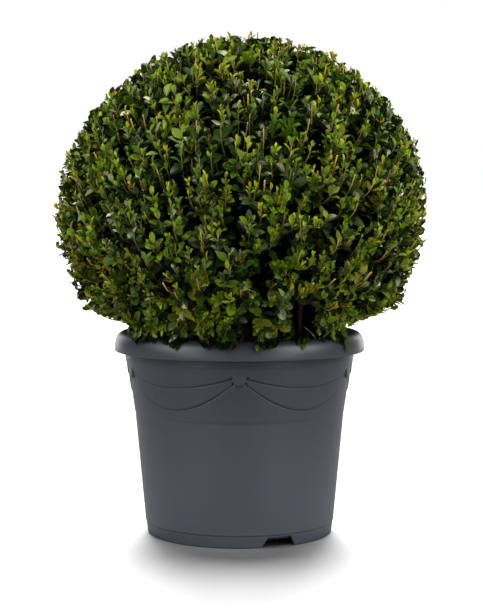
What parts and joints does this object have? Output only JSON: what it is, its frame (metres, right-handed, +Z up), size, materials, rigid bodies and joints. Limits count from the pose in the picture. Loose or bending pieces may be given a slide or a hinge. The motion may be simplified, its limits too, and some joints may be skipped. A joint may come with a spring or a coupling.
{
  "type": "potted privet ball",
  "caption": "Shrub clipped to a ball of small glossy leaves, in a round tapered plastic nursery pot with a turned-down lip and a band of festoons.",
  "frame": {"origin": "on the ground, under the middle of the pot's foot", "axes": "+Z up the pot's axis, -Y towards the viewer of the picture, +X to that viewer's right"},
  "size_m": [0.4425, 0.4356, 0.5959],
  "materials": {
    "pot_plastic": "satin moulded plastic, slate grey",
    "potting_soil": "loose and matt, dark brown",
    "bark": "thin matt bark, warm brown",
    "leaves": "glossy dark green leaves with yellow-green young tips"
  },
  "bodies": {
    "root": {"pot": "pot_plastic", "soil": "potting_soil", "main_stem": "bark", "bough_1": "bark", "bough_2": "bark", "bough_3": "bark", "bough_4": "bark", "bough_5": "bark", "side_stem_1": "bark", "side_stem_2": "bark", "side_stem_3": "bark", "side_stem_4": "bark", "side_stem_5": "bark", "side_stem_6": "bark", "side_stem_7": "bark", "side_stem_8": "bark", "foliage_ball": "leaves"}
  },
  "joints": []
}
